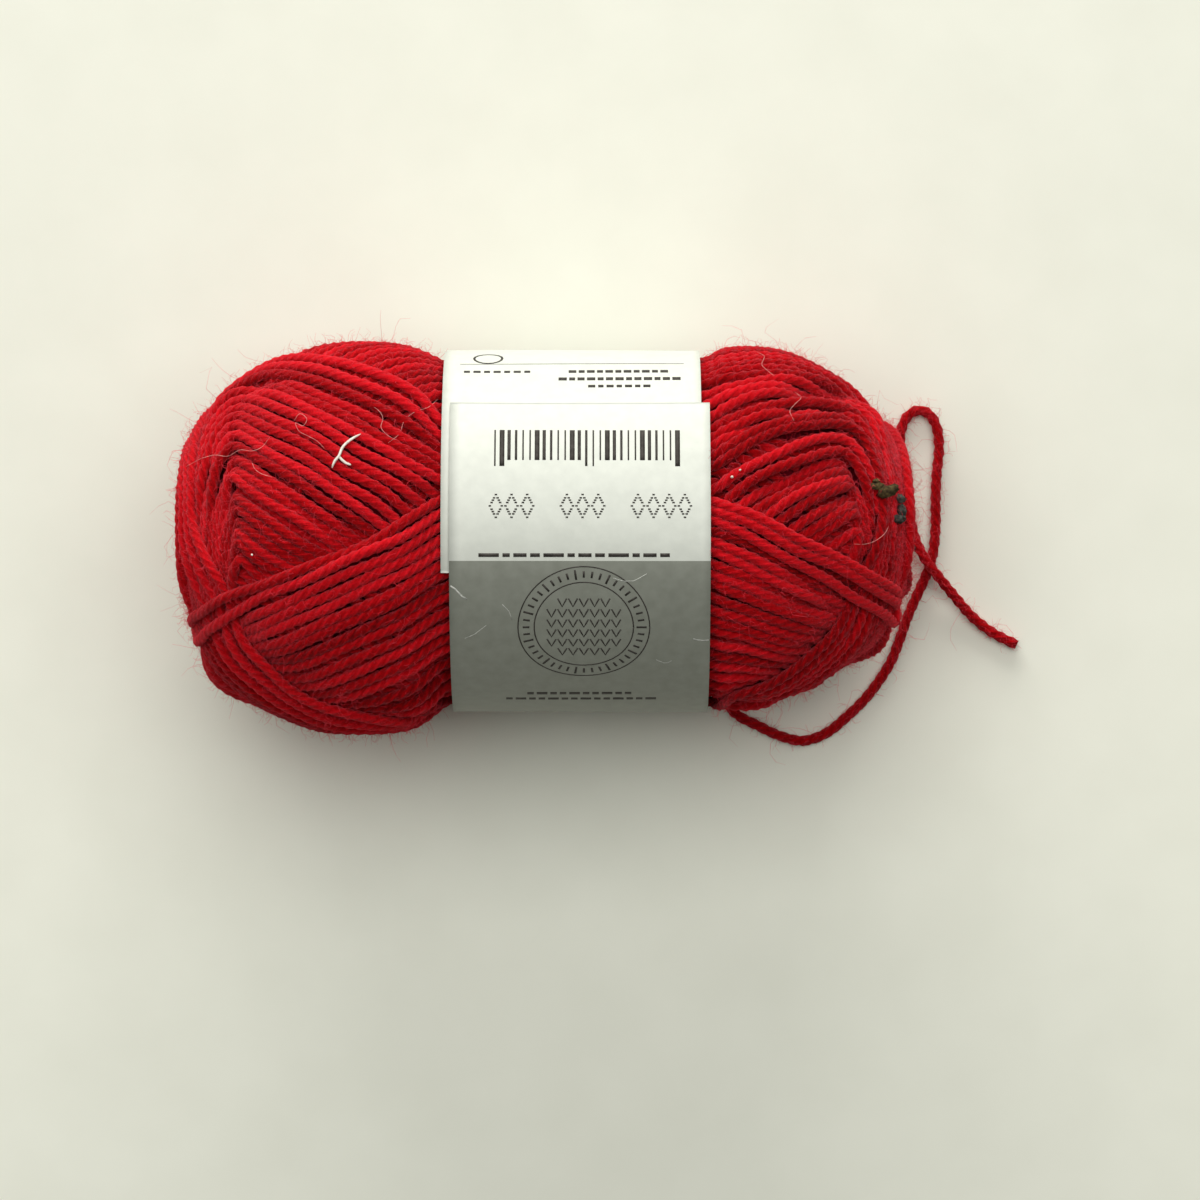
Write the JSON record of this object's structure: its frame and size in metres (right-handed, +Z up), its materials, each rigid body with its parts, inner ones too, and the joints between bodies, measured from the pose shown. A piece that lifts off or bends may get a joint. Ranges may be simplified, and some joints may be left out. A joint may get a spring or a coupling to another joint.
{
  "type": "skein of wool yarn with its paper band",
  "caption": "Lying pull skein of twisted wool yarn with crossing bundles, dimpled ends, a lapped paper band at its waist and a loose yarn tail.",
  "frame": {"origin": "middle of the skein's underside, on the surface it lies on", "axes": "+X along the skein's axis, +Y across it, +Z up"},
  "size_m": [0.1477, 0.0718, 0.0674],
  "materials": {
    "crimson_wool": "matt, softly hairy plied wool",
    "band_paper": "coated white paper with a silver-grey print"
  },
  "bodies": {
    "root": {"wound_skein": "crimson_wool", "paper_band": "band_paper", "yarn_tail": "crimson_wool"}
  },
  "joints": []
}
